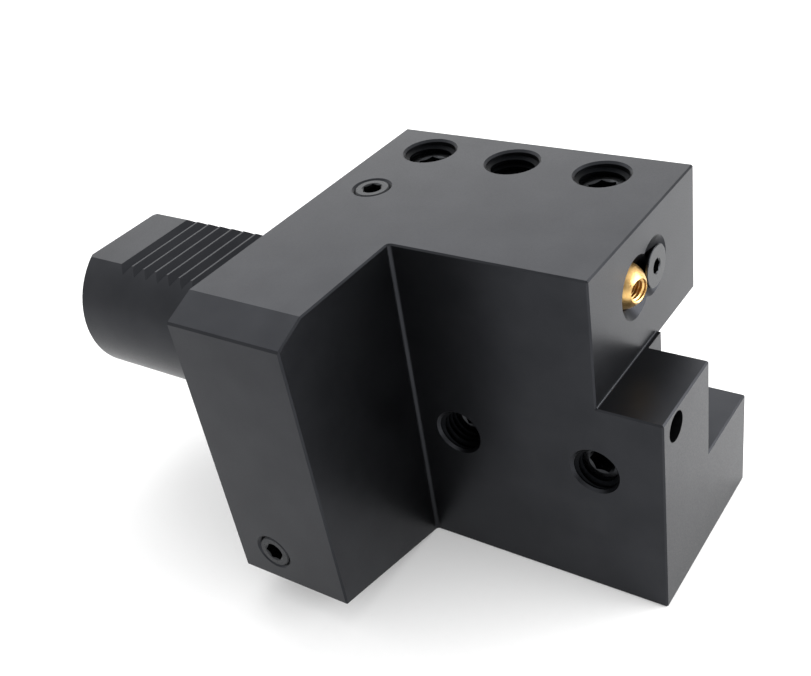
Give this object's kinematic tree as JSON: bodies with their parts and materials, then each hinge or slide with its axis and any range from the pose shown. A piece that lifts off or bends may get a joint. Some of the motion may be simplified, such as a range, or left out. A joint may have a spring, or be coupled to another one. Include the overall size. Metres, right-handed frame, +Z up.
{
  "type": "turret tool holder",
  "caption": "Static turret tool holder with a serrated round shank, an L-shaped block with a side-open slot for a square tool, clamping and setting screws, and a swivelling coolant nozzle.",
  "frame": {"origin": "on the shank's axis in the plane of the contact face that seats on the turret", "axes": "+X out of the turret along the shank's axis, +Z up towards the clamping screws, +Y towards the slot's open side"},
  "size_m": [0.1505, 0.088, 0.0785],
  "materials": {
    "black_oxide_steel": "ground and black oxidised case hardened steel, satin",
    "screw_steel": "black oxidised alloy steel screw, semi-gloss",
    "brass": "turned and polished brass",
    "seal_rubber": "moulded nitrile rubber, satin"
  },
  "bodies": {
    "holder": {"holder_body": "black_oxide_steel", "shank_seal_ring": "seal_rubber", "inlet_seal_ring": "seal_rubber", "top_channel_plug": "screw_steel", "arm_channel_plug": "screw_steel", "nozzle_seal_ring": "seal_rubber"},
    "clamp_screw_rear": {"clamp_screw_rear": "screw_steel"},
    "clamp_screw_front": {"clamp_screw_front": "screw_steel"},
    "side_screw_inner": {"side_screw_inner": "screw_steel"},
    "side_screw_outer": {"side_screw_outer": "screw_steel"},
    "nozzle_ball": {"nozzle_ball": "brass"},
    "nozzle_clamp_screw": {"nozzle_clamp_screw": "screw_steel"}
  },
  "joints": [
    {"name": "clamp_rear_travel", "type": "slide", "parent": "holder", "child": "clamp_screw_rear", "axis": [0, 0, -1], "range_m": [-0.00175, 0.0105]},
    {"name": "clamp_front_travel", "type": "slide", "parent": "holder", "child": "clamp_screw_front", "axis": [0, 0, -1], "range_m": [-0.00175, 0.0105]},
    {"name": "side_inner_travel", "type": "slide", "parent": "holder", "child": "side_screw_inner", "axis": [0, 1, 0], "range_m": [-0.003, 0.006]},
    {"name": "side_outer_travel", "type": "slide", "parent": "holder", "child": "side_screw_outer", "axis": [0, 1, 0], "range_m": [-0.003, 0.009]},
    {"name": "nozzle_swivel", "type": "hinge", "parent": "holder", "child": "nozzle_ball", "pos_m": [0.0703, 0.0137, 0.0203], "axis": [0, 0, 1], "range_deg": [-2, 28]},
    {"name": "nozzle_clamp_travel", "type": "slide", "parent": "holder", "child": "nozzle_clamp_screw", "axis": [1, 0, 0], "range_m": [0, 0.0008]}
  ]
}
